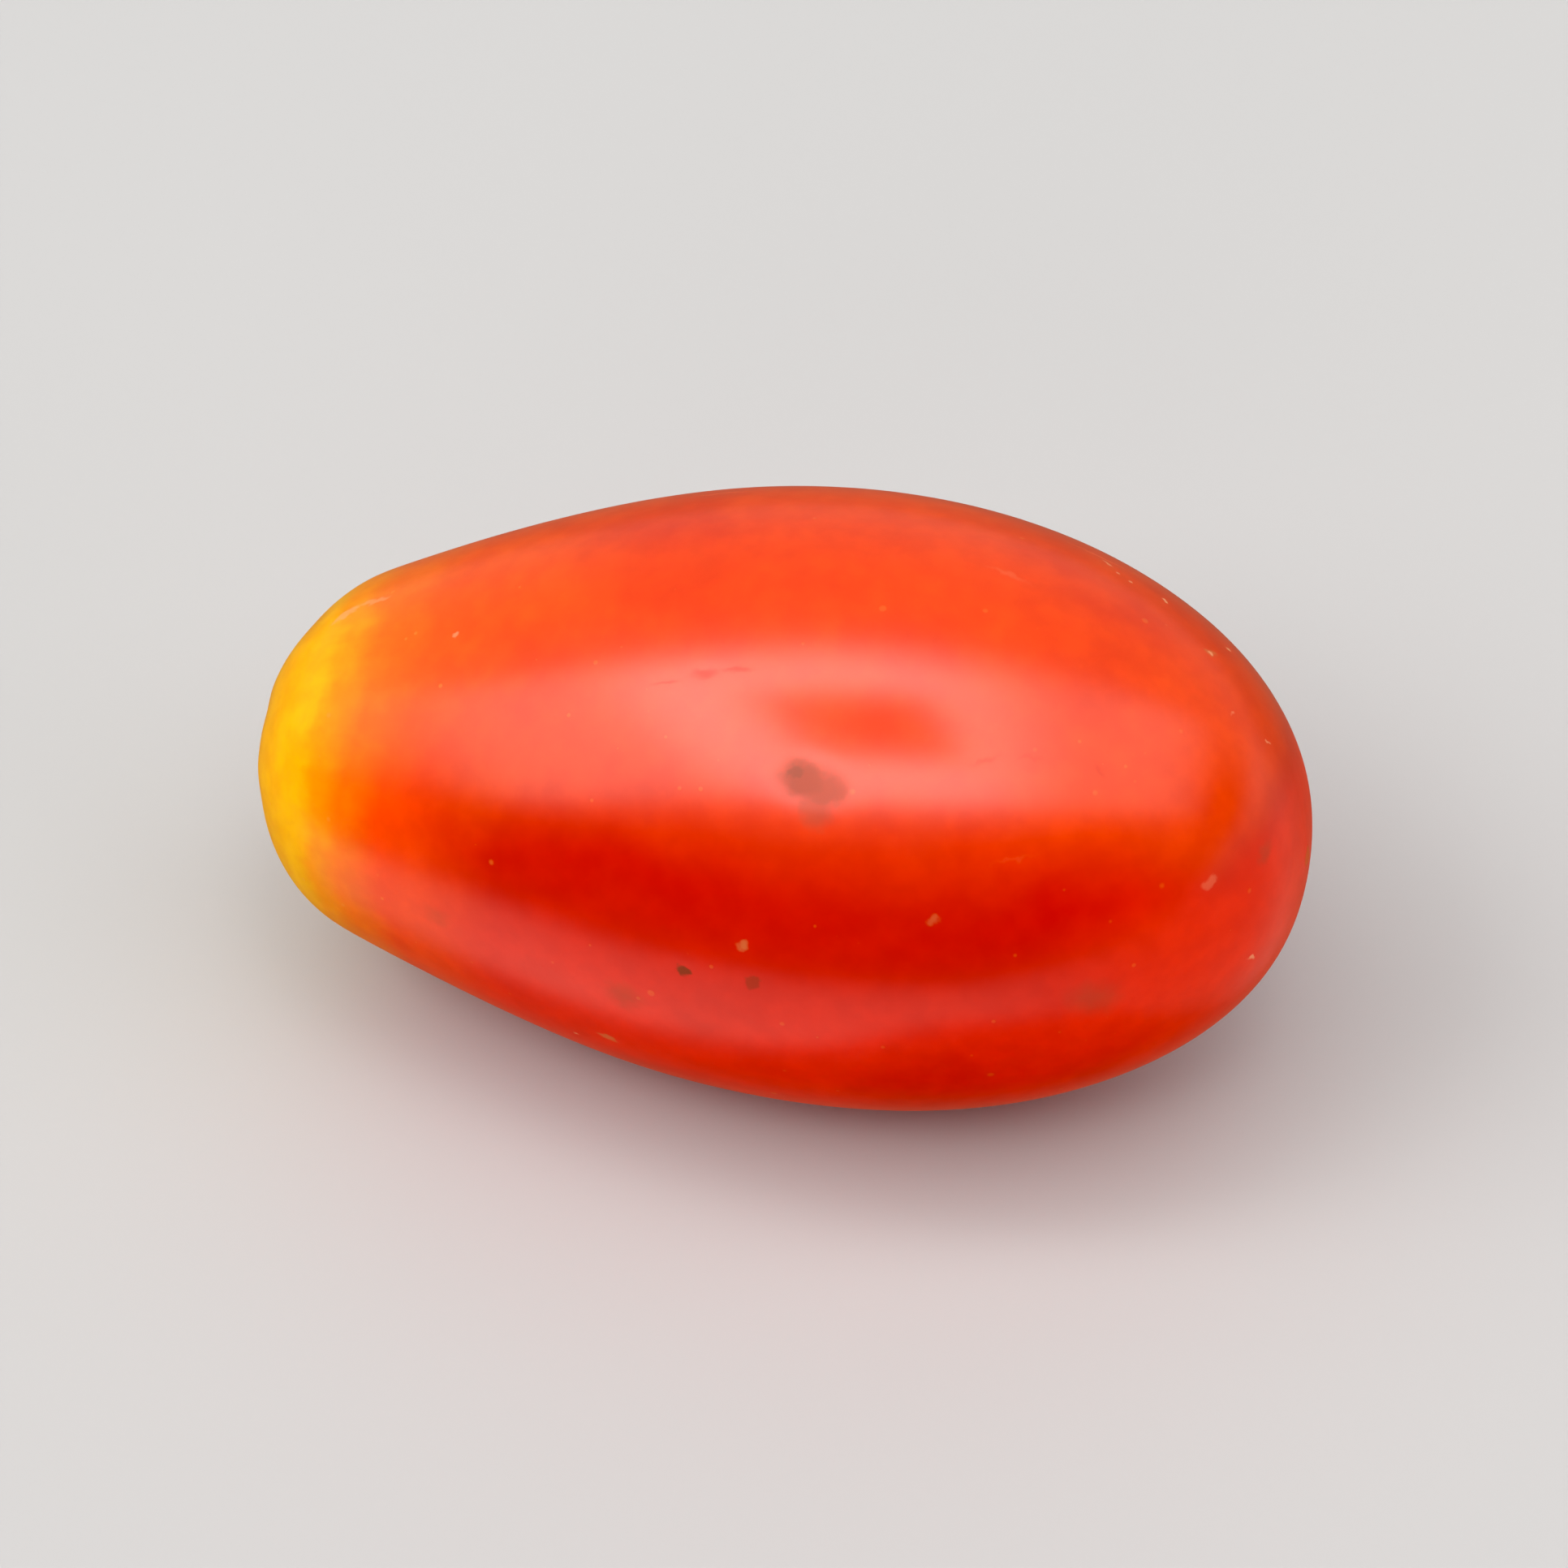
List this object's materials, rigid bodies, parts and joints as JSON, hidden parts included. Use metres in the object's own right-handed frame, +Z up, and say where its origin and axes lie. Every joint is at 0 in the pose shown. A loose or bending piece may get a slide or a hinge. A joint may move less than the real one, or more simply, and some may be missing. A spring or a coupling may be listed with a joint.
{
  "type": "mini plum tomato",
  "caption": "Elongated small plum tomato lying on its side, with a narrow yellow stem end, a corky stem scar and a round blossom end.",
  "frame": {"origin": "on the table, under the middle of the fruit", "axes": "+X from the stem end to the blossom end, +Y across the fruit, +Z up from the table"},
  "size_m": [0.0406, 0.0234, 0.023],
  "materials": {
    "skin": "smooth waxy skin, red, turning orange and then yellow at the stem end"
  },
  "bodies": {
    "root": {"tomato": "skin"}
  },
  "joints": []
}
